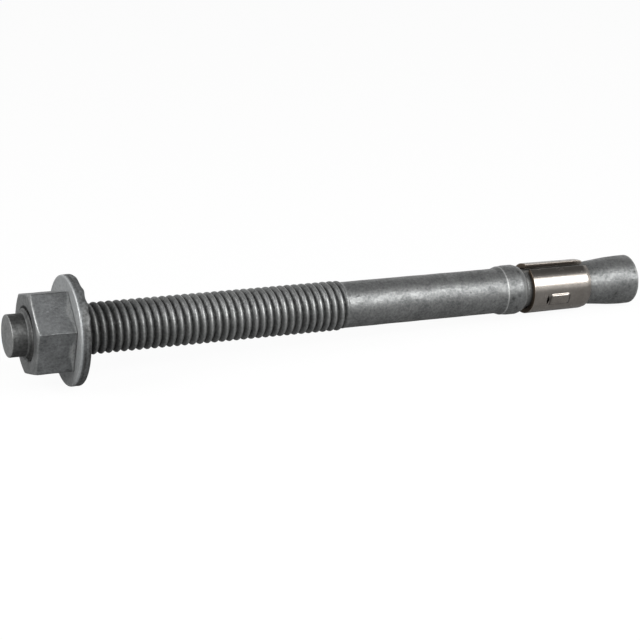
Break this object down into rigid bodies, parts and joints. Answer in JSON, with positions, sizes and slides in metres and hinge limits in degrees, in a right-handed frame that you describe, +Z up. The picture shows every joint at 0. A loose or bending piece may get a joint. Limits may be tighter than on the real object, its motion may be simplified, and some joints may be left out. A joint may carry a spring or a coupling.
{
  "type": "wedge anchor",
  "caption": "Galvanised wedge anchor: threaded stud with a cone end, hex nut, flat washer and split expansion clip, for fastening fixtures to concrete.",
  "frame": {"origin": "on the ground under the middle of the anchor, lying on the rims of its washer and its cone", "axes": "+X towards the cone end, -Y towards the viewer, +Z up; the anchor's own axis dips 2.57 degrees below +X"},
  "size_m": [0.1728, 0.027, 0.027],
  "materials": {
    "galvanised_stud": "hot-dip galvanised, satin",
    "galvanised_nut": "hot-dip galvanised, dull",
    "galvanised_washer": "hot-dip galvanised, satin",
    "stainless_clip": "rolled stainless sheet, bright"
  },
  "bodies": {
    "stud": {"anchor_stud": "galvanised_stud"},
    "washer": {"flat_washer": "galvanised_washer"},
    "nut": {"hex_nut": "galvanised_nut"},
    "clip": {"expansion_clip": "stainless_clip"}
  },
  "joints": [
    {"name": "washer_slide", "type": "slide", "parent": "stud", "child": "washer", "axis": [0.999, 0, -0.0447], "range_m": [-0.00293, 0.07034]},
    {"name": "nut_turn", "type": "hinge", "parent": "washer", "child": "nut", "pos_m": [-0.07201, 0, 0.01358], "axis": [0.999, 0, -0.0447], "range_deg": [-540, 12960]},
    {"name": "clip_slide", "type": "slide", "parent": "stud", "child": "clip", "axis": [0.999, 0, -0.0447], "range_m": [-0.0012, 0.0001]}
  ],
  "couplings": [
    {"joint": "washer_slide", "follows": "nut_turn", "m_per_rad": 0.00031096}
  ]
}
